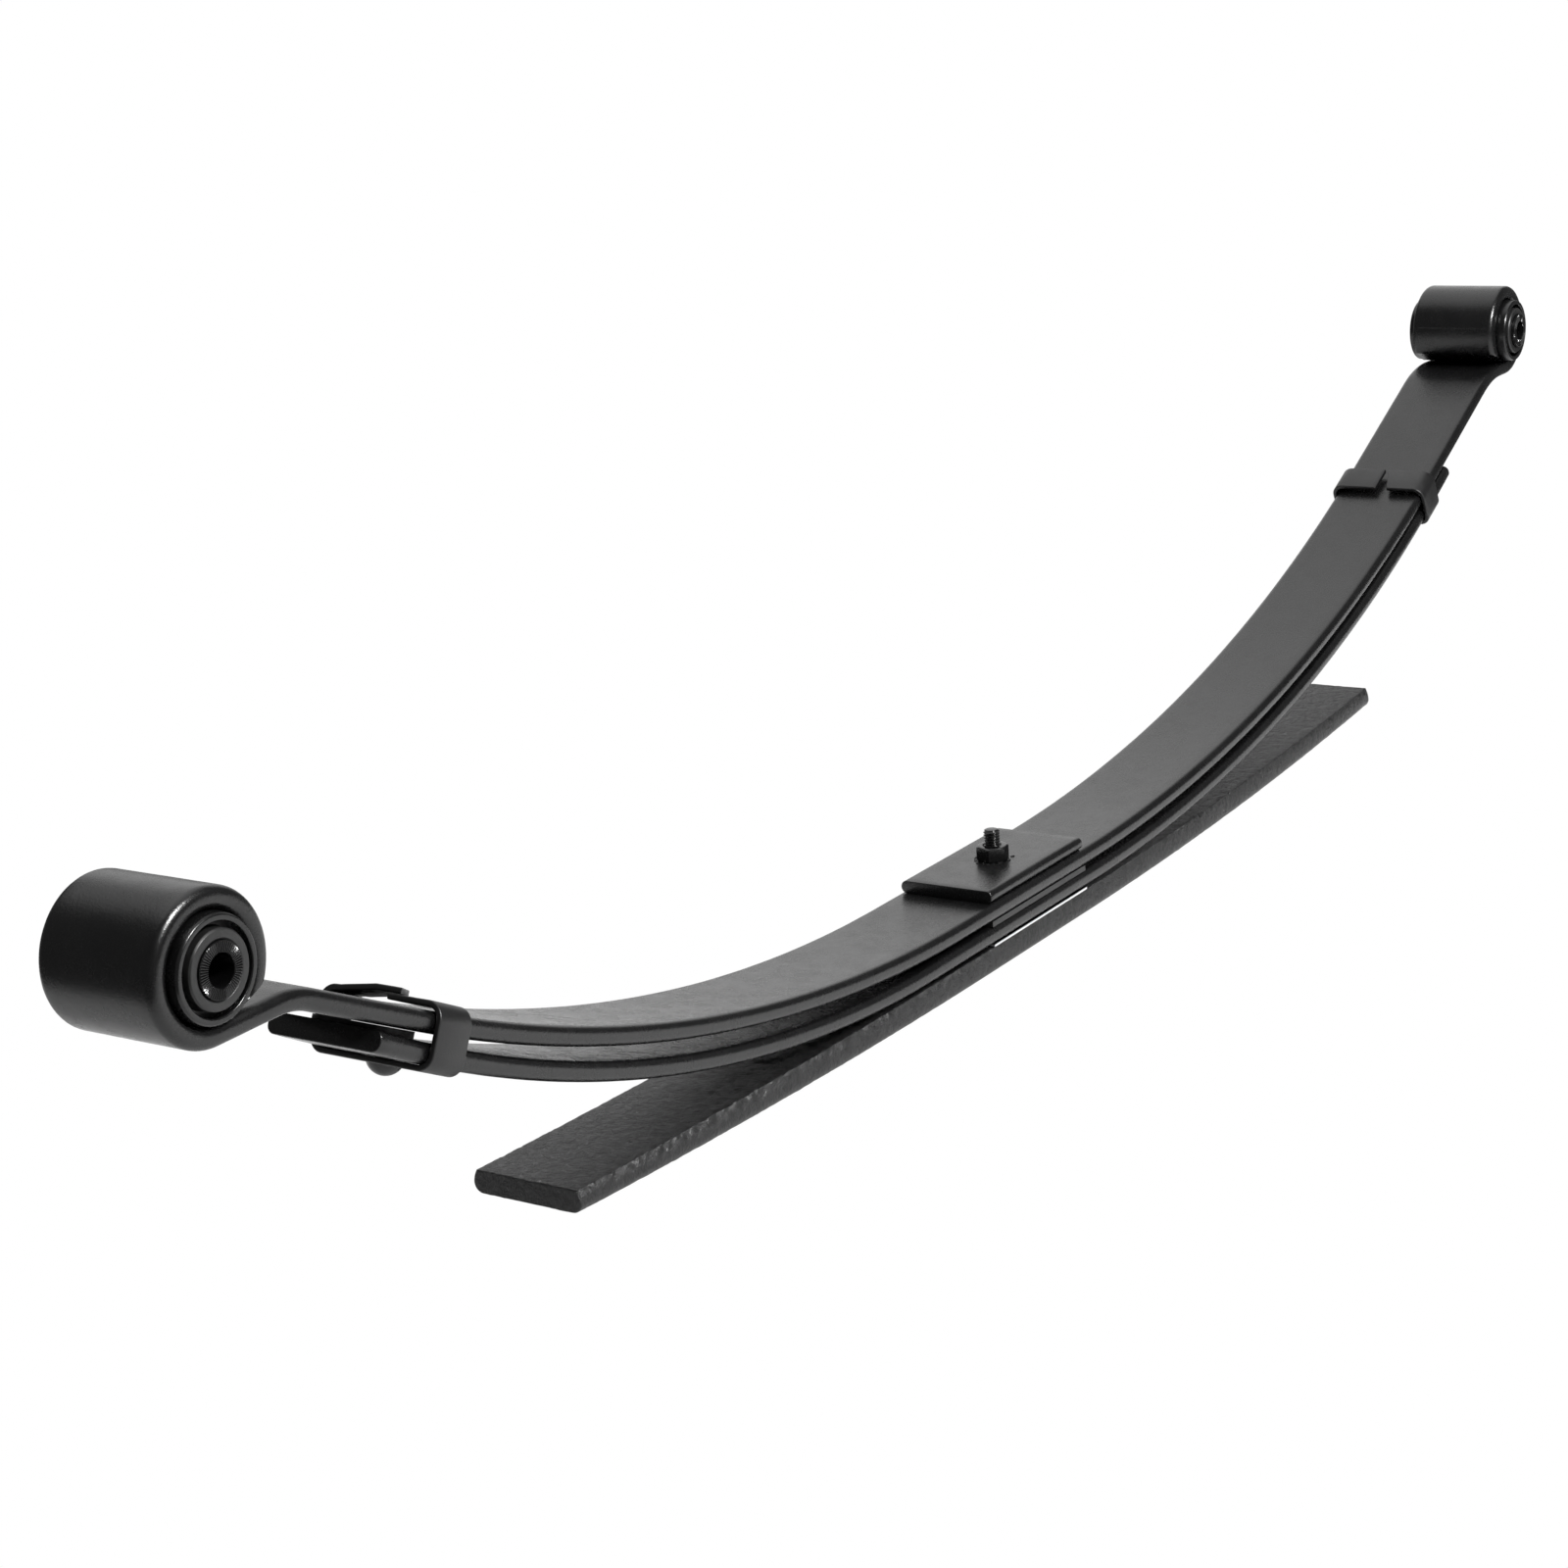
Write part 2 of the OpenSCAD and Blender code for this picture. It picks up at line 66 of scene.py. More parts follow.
CLIP_W, CLIP_T = 21.0, 2.7
RAISED_END = 3.6        # y at which a riding ear starts to step down
RIVET_R, RIVET_HEAD_R, RIVET_HEAD_H = 4.0, 7.5, 4.5
TUBE_R, BORE_R = 11.25, 6.75
TEETH, TOOTH_STEPS = 60, 5
CLEAR = 0.05            # fitting and running clearance
FREE = 1e9              # limit of a station whose depth isn't limited


# ---- meshes --------------------------------------------------------------

def piece(name, verts, faces, material, body="spring", nodes=(), sharp=38):
    """A smooth-shaded piece from millimetre points, riding on its CAD body."""
    mesh = bpy.data.meshes.new(name)
    mesh.from_pydata([(x * MM, y * MM, z * MM) for x, y, z in verts], [], faces)
    bm = bmesh.new()
    bm.from_mesh(mesh)
    bmesh.ops.recalc_face_normals(bm, faces=bm.faces)
    bm.to_mesh(mesh)
    bm.free()
    mesh.shade_smooth()
    mesh.set_sharp_from_angle(angle=math.radians(sharp))
    mesh.materials.append(material)
    obj = bpy.data.objects.new(name, mesh)
    bpy.context.scene.collection.objects.link(obj)
    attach(obj, body)
    if nodes:
        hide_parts(*nodes)
    return obj


def skin(rings, closed=False):
    """Faces between rings of equally many points, with flat ends unless closed."""
    n, m = len(rings[0]), len(rings)
    faces = []
    for i in range(m if closed else m - 1):
        a, b = i * n, (i + 1) % m * n
        for j in range(n):
            k = (j + 1) % n
            faces.append((a + j, b + j, b + k, a + k))
    if not closed:
        faces.append(tuple(range(n)))
        faces.append(tuple(range((m - 1) * n, m * n))[::-1])
    return [p for ring in rings for p in ring], faces


def section(t, w, r_top, r_low, inset=0.0, across=10, n=7):
    """Ring of (depth, y) points round a bar with rounded long edges."""
    t, h, e = t - 2 * inset, w / 2 - inset, inset
    rt, rl = max(r_top - inset, 0.05), max(r_low - inset, 0.05)
    points = [(0.0, -(h - rt) + 2 * (h - rt) * i / across) for i in range(across)]
    for k in range(n + 1):
        a = math.pi / 2 * k / n
        points.append((rt - rt * math.cos(a), h - rt + rt * math.sin(a)))
    for k in range(n + 1):
        a = math.pi / 2 * k / n
        points.append((t - rl + rl * math.sin(a), h - rl + rl * math.cos(a)))
    points += [(t, (h - rl) - 2 * (h - rl) * i / across) for i in range(1, across)]
    for k in range(n + 1):
        a = math.pi / 2 * k / n
        points.append((t - rl + rl * math.cos(a), -(h - rl) - rl * math.sin(a)))
    for k in range(n):
        a = math.pi / 2 * k / n
        points.append((rt - rt * math.sin(a), -(h - rt) - rt * math.cos(a)))
    return [(d + e, y) for d, y in points]


def place(station, ring):
    """A section ring set across the path at a station (x, z, tx, tz, limit)."""
    x, z, tx, tz, limit = station
    return [(x + min(d, limit) * tz, y, z - min(d, limit) * tx) for d, y in ring]


def arc(start, rad, angle, step):
    """Stations along an arc from a start station; a negative radius bends down."""
    x, z, tx, tz, _ = start
    count = max(2, round(abs(angle) / step))
    out = []
    for i in range(1, count + 1):
        a = math.radians(angle) * i / count * (1 if rad > 0 else -1)
        c, s = math.cos(a), math.sin(a)
        px, pz = abs(rad) * math.sin(abs(a)), rad * (1 - c)
        out.append((x + px * tx - pz * tz, z + px * tz + pz * tx,
                    c * tx - s * tz, s * tx + c * tz, FREE))
    return out


def line(start, length, count):
    """Stations along a straight run from a start station."""
    x, z, tx, tz, _ = start
    return [(x + length * i / count * tx, z + length * i / count * tz, tx, tz, FREE)
            for i in range(1, count + 1)]


def mirrored(stations):
    """The same run on the other side of the bolt, read towards +X."""
    return [(-x, z, tx, -tz, lim) for x, z, tx, tz, lim in reversed(stations)]


def main_half(flat, rad, slope, bend, x, h):
    """Stations of half the main leaf on its top face, with z 0 at that face."""
    a = math.radians(slope)
    up = (h - EYE_R - (rad + bend) * (1 - math.cos(a))) / math.sin(a)
    level = x - flat - (rad + bend) * math.sin(a) - up * math.cos(a)
    run = [(0.0, 0.0, 1.0, 0.0, FREE)]
    run += line(run[-1], flat, 8)
    run += arc(run[-1], rad, slope, 0.5)
    run += line(run[-1], up, 8)
    run += arc(run[-1], -bend, slope, 1.3)
    run += line(run[-1], level, 3)
    wrap = arc(run[-1], EYE_R, EYE_WRAP, 2.5)
    tip = math.radians(EYE_WRAP)
    for i, (px, pz, tx, tz, _) in enumerate(wrap):
        behind = tip - math.radians(EYE_WRAP) * (i + 1) / len(wrap)
        limit = (EYE_R + EYE_TIP) / math.cos(behind) - EYE_R if behind < 1.2 else FREE
        run.append((px, pz, tx, tz, limit))
    return run


def leaf_run(half_front, half_rear, z):
    """Stations of a whole leaf from its two halves, at its own height."""
    run = mirrored(half_front)[:-1] + half_rear
    return [(x, zz + z, tx, tz, lim) for x, zz, tx, tz, lim in run]


def end_rings(station, ring_at, sign, radius, n=3):
    """Rings of a rounded end, from the last full section to the end face."""
    x, z, tx, tz, lim = station
    out = []
    for k in range(n + 1):
        a = math.pi / 2 * k / n
        along = sign * radius * (math.sin(a) - 1)
        here = (x + along * tx, z + along * tz, tx, tz, lim)
        out.append(place(here, ring_at(radius * (1 - math.cos(a)))))
    return out


def join(parts):
    """One mesh from several lists of points and faces."""
    verts, faces = [], []
    for v, f in parts:
        faces += [tuple(k + len(verts) for k in face) for face in f]
        verts += v
    return verts, faces


def rough(verts, amount, scale, seed):
    """Small surface waves, the same on each run."""
    off = Vector((seed * 17.3, seed * 5.1, 3.7))
    return [tuple(Vector(v) + amount * (noise.noise_vector(Vector(v) / scale + off)))
            for v in verts]


# ---- materials -----------------------------------------------------------

def material(name):
    """A new material with one shader, and the object's own coordinates."""
    mat = bpy.data.materials.new(name)
    mat.use_nodes = True
    tree = mat.node_tree
    tree.nodes.clear()
    out = tree.nodes.new("ShaderNodeOutputMaterial")
    shader = tree.nodes.new("ShaderNodeBsdfPrincipled")
    tree.links.new(shader.outputs[0], out.inputs[0])
    coords = tree.nodes.new("ShaderNodeTexCoord")
    return mat, tree, shader, coords.outputs["Object"]


def noise_node(tree, vector, scale, detail=3.0, roughness=0.5, distortion=0.0):
    node = tree.nodes.new("ShaderNodeTexNoise")
    node.inputs["Scale"].default_value = scale
    node.inputs["Detail"].default_value = detail
    node.inputs["Roughness"].default_value = roughness
    node.inputs["Distortion"].default_value = distortion
    tree.links.new(vector, node.inputs["Vector"])
    return node.outputs["Fac"]


def remap(tree, value, low, high, a=0.3, b=0.7):
    """Spreads a value between a and b over the range from low to high."""
    node = tree.nodes.new("ShaderNodeMapRange")
    for key, v in zip(("From Min", "From Max", "To Min", "To Max"), (a, b, low, high)):
        node.inputs[key].default_value = v
    tree.links.new(value, node.inputs["Value"])
    return node.outputs["Result"]


def tint(tree, value, dark, light):
    """A colour between dark and light."""
    node = tree.nodes.new("ShaderNodeMix")
    node.data_type = "RGBA"
    node.inputs[6].default_value = (*dark, 1)
    node.inputs[7].default_value = (*light, 1)
    tree.links.new(value, node.inputs[0])
    return node.outputs[2]


def bump(tree, shader, heights):
    """A chain of bumps from (height, distance in metres, strength)."""
    normal = None
    for height, distance, strength in heights:
        node = tree.nodes.new("ShaderNodeBump")
        node.inputs["Distance"].default_value = distance
        node.inputs["Strength"].default_value = strength
        tree.links.new(height, node.inputs["Height"])
        if normal:
            tree.links.new(normal, node.inputs["Normal"])
        normal = node.outputs["Normal"]
    tree.links.new(normal, shader.inputs["Normal"])


def paint(name, dark, light, rough_low, rough_high, peel, grain=0.35, specular=0.5):
    """Black paint: cloudy tone, uneven gloss, orange peel and fine grain."""
    mat, tree, shader, where = material(name)
    cloud = noise_node(tree, where, 38, 4, 0.6)
    speck = noise_node(tree, where, 2300, 2, 0.6)
    tree.links.new(tint(tree, remap(tree, cloud, 0, 1), dark, light),
                   shader.inputs["Base Color"])
    tree.links.new(remap(tree, noise_node(tree, where, 90, 5, 0.65), rough_low, rough_high),
                   shader.inputs["Roughness"])
    shader.inputs["Specular IOR Level"].default_value = specular
    bump(tree, shader, [(noise_node(tree, where, 230, 2, 0.5), 0.0005, 0.4 * peel),
                        (noise_node(tree, where, 850, 2, 0.55), 0.0003, peel),
                        (speck, 0.00008, grain)])
    return mat


BLACK = (0.003, 0.003, 0.0031), (0.006, 0.006, 0.0062)
LEAF_PAINT = paint("satin_black_paint", *BLACK, 0.21, 0.31, 0.22, 0.7)
CLIP_PAINT = paint("clip_black_paint", (0.004, 0.004, 0.0041), (0.008, 0.008, 0.0082),
                   0.34, 0.44, 0.16)
GLOSS_PAINT = paint("gloss_black_paint", *BLACK, 0.12, 0.22, 0.22)
BUSH_PAINT = paint("bush_black_paint", *BLACK, 0.2, 0.3, 0.14)


def mill_paint():
    """Paint over hot-rolled scale: pits, laps and a duller, broken surface."""
    mat, tree, shader, where = material("rough_black_paint")
    cloud = noise_node(tree, where, 30, 5, 0.65)
    pits = noise_node(tree, where, 210, 6, 0.7, 0.6)
    cells = tree.nodes.new("ShaderNodeTexVoronoi")
    cells.inputs["Scale"].default_value = 130
    tree.links.new(where, cells.inputs["Vector"])
    tree.links.new(tint(tree, remap(tree, cloud, 0, 1), (0.003, 0.003, 0.0031),
                        (0.007, 0.007, 0.0072)), shader.inputs["Base Color"])
    tree.links.new(remap(tree, pits, 0.26, 0.42), shader.inputs["Roughness"])
    bump(tree, shader, [(remap(tree, pits, 0, 1, 0.35, 0.6), 0.0012, 0.5),
                        (cells.outputs["Distance"], 0.0006, 0.22),
                        (noise_node(tree, where, 900, 2), 0.00012, 0.4)])
    return mat


MILL_PAINT = mill_paint()


def bare_metal():
    """Bright zinc strip with fine rolling lines, and painted shade where it meets the leaves.
    """
    mat, tree, shader, where = material("bright_zinc")
    shader.inputs["Metallic"].default_value = 1.0
    stretch = tree.nodes.new("ShaderNodeMapping")
    stretch.inputs["Scale"].default_value = (0.08, 1, 1)
    tree.links.new(where, stretch.inputs["Vector"])
    lines = noise_node(tree, stretch.outputs[0], 1400, 3, 0.6)
    # the strip is bare over a narrow range of heights, with painted shade in near black above
    # and below it, where it meets the leaves
    split = tree.nodes.new("ShaderNodeSeparateXYZ")
    tree.links.new(where, split.inputs[0])
    unshaded_band = tree.nodes.new("ShaderNodeMath")
    unshaded_band.operation = "COMPARE"
    unshaded_band.inputs[1].default_value = (Z_OVERLOAD + 1.05) * MM
    unshaded_band.inputs[2].default_value = 0.6 * MM
    tree.links.new(split.outputs["Z"], unshaded_band.inputs[0])
    bare = tint(tree, remap(tree, noise_node(tree, where, 60), 0, 1),
                (0.80, 0.81, 0.82), (0.93, 0.93, 0.93))
    painted_crease_shade = tree.nodes.new("ShaderNodeMix")
    painted_crease_shade.data_type = "RGBA"
    # painted shade: near black on the strip's top and bottom edges, next to the leaves
    painted_crease_shade.inputs[6].default_value = (0.012, 0.012, 0.012, 1)
    tree.links.new(unshaded_band.outputs[0], painted_crease_shade.inputs[0])
    tree.links.new(bare, painted_crease_shade.inputs[7])
    tree.links.new(painted_crease_shade.outputs[2], shader.inputs["Base Color"])
    tree.links.new(remap(tree, lines, 0.30, 0.42), shader.inputs["Roughness"])
    bump(tree, shader, [(lines, 0.00005, 0.4)])
    return mat


def moulded(name, dark, light, cloud, wear, duller, grain):
    """Moulded rubber or plastic: soft sheen, dust and a fine grain. The grain
    is its noise scale, noise detail and depth in metres."""
    mat, tree, shader, where = material(name)
    scale, detail, depth = grain
    tree.links.new(tint(tree, remap(tree, noise_node(tree, where, cloud, 4), 0, 1),
                        dark, light), shader.inputs["Base Color"])
    tree.links.new(remap(tree, noise_node(tree, where, wear, 3), *duller),
                   shader.inputs["Roughness"])
    bump(tree, shader, [(noise_node(tree, where, scale, detail), depth, 0.4)])
    return mat


ZINC = bare_metal()
RUBBER = moulded("bush_rubber", (0.010, 0.010, 0.010), (0.020, 0.020, 0.020),
                 120, 300, (0.36, 0.5), (700, 3, 0.00015))
PAD = moulded("pad_plastic", (0.012, 0.012, 0.013), (0.024, 0.024, 0.025),
              150, 400, (0.5, 0.65), (800, 2, 0.0001))


# ---- leaves --------------------------------------------------------------

def swept(stations, ring_at, radius):
    """A bar along the stations with rounded ends. Sections near the ends give
    way to the end rings."""
    first, last = stations[0], stations[-1]
    keep = [s for s in stations
            if math.dist(s[:2], first[:2]) > radius and math.dist(s[:2], last[:2]) > radius]
    rings = end_rings(first, ring_at, -1, radius)[::-1]
    rings += [place(s, ring_at(0.0)) for s in keep]
    rings += end_rings(last, ring_at, 1, radius)
    return skin(rings)


def build_main_leaf():
    """Main leaf with both eyes rolled on the side of its top face."""
    run = leaf_run(main_half(**FRONT), main_half(**REAR), Z_MAIN)
    verts, faces = swept(run, lambda e: section(MAIN_T, LEAF_W, EDGE_R, EDGE_R, e), 0.35)
    verts = rough(verts, 0.05, 9.0, 1)
    piece("main_leaf_painted", verts, faces, LEAF_PAINT, nodes=["main_leaf"])


def second_half(flat, rad, tip):
    """Stations of half the second leaf on its top face, with z 0 at that face."""
    run = [(0.0, 0.0, 1.0, 0.0, FREE)]
    run += line(run[-1], flat, 8)
    run += arc(run[-1], rad, math.degrees(math.asin((tip - flat) / rad)), 0.5)
    return run


def build_second_leaf():
    """Second leaf with plain ends, just past the clips."""
    run = leaf_run(second_half(**SECOND_FRONT), second_half(**SECOND_REAR), Z_SECOND)
    verts, faces = swept(run, lambda e: section(SECOND_T, LEAF_W, EDGE_R, EDGE_R, e), 0.5)
    verts = rough(verts, 0.05, 9.0, 2)
    piece("second_leaf_painted", verts, faces, LEAF_PAINT,
          nodes=["second_leaf"])


def overload_half(end, rise, t):
    """Stations on the top of one overload arm, with the leaf's own thickness."""
    length = end - OVERLOAD_FLAT
    up = rise + t - Z_OVERLOAD
    top = (length ** 2 + up ** 2) / (2 * up)
    low = (length ** 2 + rise ** 2) / (2 * rise)
    run = [(x, Z_OVERLOAD, 1.0, 0.0, Z_OVERLOAD) for x in (0, 12, 25, 38, OVERLOAD_FLAT)]
    count = 260
    for i in range(1, count + 1):
        a = math.asin(length / top) * i / count
        x, z = OVERLOAD_FLAT + top * math.sin(a), Z_OVERLOAD + top * (1 - math.cos(a))
        nx, nz = -math.sin(a), math.cos(a)
        # depth of the lower arc below the top face, along the leaf's normal
        cx, cz = x - OVERLOAD_FLAT, z - low
        b = cx * nx + cz * nz
        deep = b + math.sqrt(b * b - (cx * cx + cz * cz - low * low))
        run.append((x, z, nz, -nx, deep))
    return run


def overload_section(t, inset, across=26):
    """Hot-sheared bar: crisp top corners, bulging sides, round lower corners."""
    h, deep = HALF - inset, t - inset
    top, r = h - 2.1, 5.0 - inset
    side = [(0.0, top), (0.12, top + 0.25), (0.4, top + 0.42)]
    for k in range(1, 7):
        s = k / 6
        side.append((0.4 + (deep - r - 0.4) * s, h - 1.68 * (1 - s) ** 2))
    for k in range(1, 9):
        a = math.pi / 2 * k / 8
        side.append((deep - r + r * math.sin(a), h - r + r * math.cos(a)))
    side = [(max(d, inset), y) for d, y in side]
    flat = [(inset, -top + 2 * top * i / across) for i in range(1, across)]
    base = [(deep, (h - r) - 2 * (h - r) * i / across) for i in range(1, across)]
    return flat + side + base + [(d, -y) for d, y in reversed(side)]


def build_overload_leaf():
    """Thick lower leaf with a hot-rolled skin that is wavy and pitted."""
    run = mirrored(overload_half(**OVERLOAD_FRONT))[:-1] + overload_half(**OVERLOAD_REAR)
    radius = 0.8            # rounding of the end faces
    steps = [math.pi / 2 * k / 4 for k in range(5)]

    def ring(station, inset=0.0, along=0.0):
        x, z, tx, tz, t = station
        x, z = x + along * tx, z + along * tz
        return place((x, z, tx, tz, FREE), overload_section(t, inset))

    def rounded(station, sign, angles):
        return [ring(station, radius * (1 - math.cos(a)), sign * radius * (1 - math.sin(a)))
                for a in angles]

    rings = rounded(run[0], 1, steps[::-1])
    rings += [ring(s) for s in run[1:-1]]
    rings += rounded(run[-1], -1, steps)
    verts, faces = skin(rings)
    out = []
    for v in verts:
        p = Vector(v)
        far = min(1.0, max(0.0, (abs(p.x) - 60) / 120))
        waves = noise.fractal(p / 13.0 + Vector((3.1, 0, 0)), 0.9, 2.1, 5)
        pit = max(0.0, noise.fractal(p / 4.5, 1.0, 2.0, 3) - 0.2)
        lift = (0.11 * waves - 0.4 * pit) * far
        if HALF - 2.3 < abs(p.y) < HALF - 1.4:      # the sheared top corners
            lift += 0.22 * far * noise.noise(p / 2.6)
        out.append((p.x, p.y - math.copysign(0.25 * lift, p.y), p.z + lift))
    piece("overload_leaf_painted", out, faces, MILL_PAINT,
          nodes=["overload_leaf"])


def build_plate():
    """Flat plate under the nut, with half-round long sides."""
    run = [(x, Z_PLATE, 1.0, 0.0, FREE)
           for x in [-PLATE_L / 2 + PLATE_L * i / 20 for i in range(21)]]
    verts, faces = swept(run, lambda e: section(PLATE_T, PLATE_W, 3.4, 3.4, e, 12, 8), 0.45)
    wave, upper = 0.03, 40.0    # waves of the upper part stay below the nut
    verts = [(x, y, z - (wave if z > upper else 0)) for x, y, z in rough(verts, wave, 12, 3)]
    piece("top_plate_painted", verts, faces, LEAF_PAINT, nodes=["top_plate"])


# ---- turned pieces -------------------------------------------------------

def fillet(points, radii, n=5):
    """Rounds the corners of a closed profile."""
    out, m = [], len(points)
    for i, (p, r) in enumerate(zip(points, radii)):
        p = Vector(p)
        a, b = Vector(points[i - 1]) - p, Vector(points[(i + 1) % m]) - p
        if r <= 0:
            out.append(tuple(p))
            continue
        half = a.angle(b) / 2
        cut = min(r / math.tan(half), 0.49 * a.length, 0.49 * b.length)
        r = cut * math.tan(half)
        start, end = p + a.normalized() * cut, p + b.normalized() * cut
        centre = p + (a.normalized() + b.normalized()).normalized() * (r / math.sin(half))
        v0, v1 = start - centre, end - centre
        sweep = v0.angle_signed(v1)
        for k in range(n + 1):
            c, s = math.cos(-sweep * k / n), math.sin(-sweep * k / n)
            out.append((centre.x + c * v0.x - s * v0.y, centre.y + s * v0.x + c * v0.y))
    return out


def lathe(profile, centre, n=180, shape=None):
    """A closed profile of (radius, along) turned about Y through centre."""
    rings = []
    for i in range(n):
        a = 2 * math.pi * i / n
        c, s = math.cos(a), math.sin(a)
        ring = []
        for r, h in profile:
            if shape:
                r, h = shape(r, h, i)
            ring.append((centre[0] + r * c, centre[1] + h, centre[2] + r * s))
        rings.append(ring)
    return skin(rings, closed=True)


def both_ends(quarter, radii):
    """A profile that is the same at both ends, from the +Y half of it."""
    return (quarter + [(r, -h) for r, h in reversed(quarter)],
            radii + radii[::-1])


def build_bush(name, centre, lip, proud):
    """A bush whose sleeve and tube stand lip and proud beyond the eye."""
    h = HALF
    sleeve = both_ends(
        [(EYE_R - 2.4, h - 1), (EYE_R - 3.6, h + lip - 0.8), (EYE_R - 3.2, h + lip),
         (EYE_R - 1.2, h + lip), (EYE_R - 0.5, h + lip - 0.9), (EYE_R - 0.15, h - 1)],
        [0.8, 0.5, 0.6, 0.7, 0.8, 0.8])
    verts, faces = lathe(fillet(*sleeve), centre)
    piece(name + "_bush_sleeve_painted", verts, faces, BUSH_PAINT,
          nodes=[name + "_bush_sleeve"])
    disc = 1.4 * TUBE_R     # radius of the raised disc of rubber
    inner = TUBE_R + CLEAR
    rubber = both_ends(
        [(inner, h + lip + 0.4), (inner + 0.8, h + lip + 1), (disc - 0.6, h + lip + 1),
         (disc, h + lip + 0.2), (disc, h - 3), (EYE_R - 2.45, h - 3)],
        [0.2, 0.3, 0.5, 0.4, 0.6, 0.05])
    verts, faces = lathe(fillet(*rubber), centre)
    piece(name + "_bush_rubber_moulded", verts, faces, RUBBER,
          nodes=[name + "_bush_rubber"])
    end = h + proud
    face = [(TUBE_R - 0.25 - (TUBE_R - BORE_R - 0.5) * k / 6, end) for k in range(7)]
    profile = [(TUBE_R, end - 0.6), (TUBE_R, end - 0.25)] + face + [
        (BORE_R, end - 0.25), (BORE_R, end - 0.6)]
    profile = profile[::-1] + [(r, -y) for r, y in profile]

    def toothed(r, y, i):
        groove = abs((i / TOOTH_STEPS) % 1.0 - 0.5) * 2
        if abs(y) > end - 0.3:
            y -= math.copysign(0.55 * groove, y)
        return r, y

    verts, faces = lathe(profile, centre, n=TEETH * TOOTH_STEPS, shape=toothed)
    piece(name + "_bush_tube_serrated", verts, faces, GLOSS_PAINT,
          body=name + "_tube", nodes=[name + "_bush_tube"], sharp=25)


def build_bolt():
    """Bolt with a helical thread above the nut and a round head below."""
    top = Z_PLATE + NUT_H + BOLT_PROUD
    z0 = Z_PLATE + NUT_H - 2 * PITCH
    n, steps = 48, 12
    total = int((top - 0.5 - z0) / PITCH * steps)
    root = BOLT_R - 0.55 * PITCH
    rings = []

    def circle(r, z):
        return [(r * math.cos(2 * math.pi * j / n), r * math.sin(2 * math.pi * j / n), z)
                for j in range(n)]

    for r, z in ((HEAD_R - 1.2, -HEAD_H), (HEAD_R - 0.5, -HEAD_H + 0.25), (HEAD_R, -HEAD_H + 1),
                 (HEAD_R, -0.35), (HEAD_R - 0.3, -0.02), (BOLT_R, 0.0), (BOLT_R, z0 - 1)):
        rings.append(circle(r, z))
    for i in range(total + 1):
        z = z0 + i * PITCH / steps
        ring = []
        for j in range(n):
            a = 2 * math.pi * j / n
            phase = ((z - z0) / PITCH - j / n) % 1.0
            tooth = min(1.0, max(0.0, 1.35 - abs(phase - 0.5) * 3.4))
            fade = min(1.0, max(0.0, (top - z) / 1.0))
            r = root + (BOLT_R - 0.04 - root) * tooth * fade
            ring.append((r * math.cos(a), r * math.sin(a), z))
        rings.append(ring)
    rings.append(circle(root - 0.25, top - 0.12))
    rings.append(circle(root - 0.8, top - 0.01))
    verts, faces = skin(rings)
    piece("centre_bolt_threaded", verts, faces, GLOSS_PAINT,
          nodes=["centre_bolt"], sharp=50)


def build_nut():
    """Hexagon nut with cone-cut corners and softened edges."""
    n = 120
    turn = math.radians(43)     # how the flats lie about the bolt
    flat = NUT_AF / 2
    rings = []
    for i in range(n):
        a = 2 * math.pi * i / n
        off = (a - math.pi / 6) % (math.pi / 3) - math.pi / 6
        hexagon = flat / math.cos(off)
        reach = min(hexagon, flat / math.cos(math.radians(27)))
        start = flat - 0.4
        drop = max(0.0, reach - start) * math.tan(math.radians(28))
        under = max(0.0, reach - start) * 0.25
        profile = [(BOLT_R + CLEAR, 0.05), (start - 0.3, 0.05), (start, 0.05 + 0.3 * under),
                   (reach - 0.12, under), (reach, under + 0.15), (reach, NUT_H - drop - 0.15),
                   (reach - 0.12, NUT_H - drop), (start, NUT_H - 0.05),
                   (start - 0.3, NUT_H), (BOLT_R + 0.9, NUT_H), (BOLT_R + CLEAR, NUT_H - 0.7)]
        c, s = math.cos(a + turn), math.sin(a + turn)
        rings.append([(r * c, r * s, Z_PLATE + z) for r, z in profile])
    verts, faces = skin(rings, closed=True)
    piece("centre_nut_painted", verts, faces, GLOSS_PAINT,
          nodes=["centre_nut"], sharp=28)


# ---- clips, rivets and paint runs ----------------------------------------

def on_second(side, second, clip):
    """Matrix of a clip's own frame: X out along the leaf, Z off its top."""
    flat, rad = second["flat"], second["rad"]
    a = math.asin((clip - flat) / rad)
    x, z = flat + rad * math.sin(a), Z_SECOND + rad * (1 - math.cos(a))
    out = Vector((side * math.cos(a), 0, math.sin(a)))
    up = Vector((-side * math.sin(a), 0, math.cos(a)))
    m = Matrix((out, Vector((0, 1, 0)), up)).transposed().to_4x4()
    m.translation = Vector((side * x, 0, z))
    return m


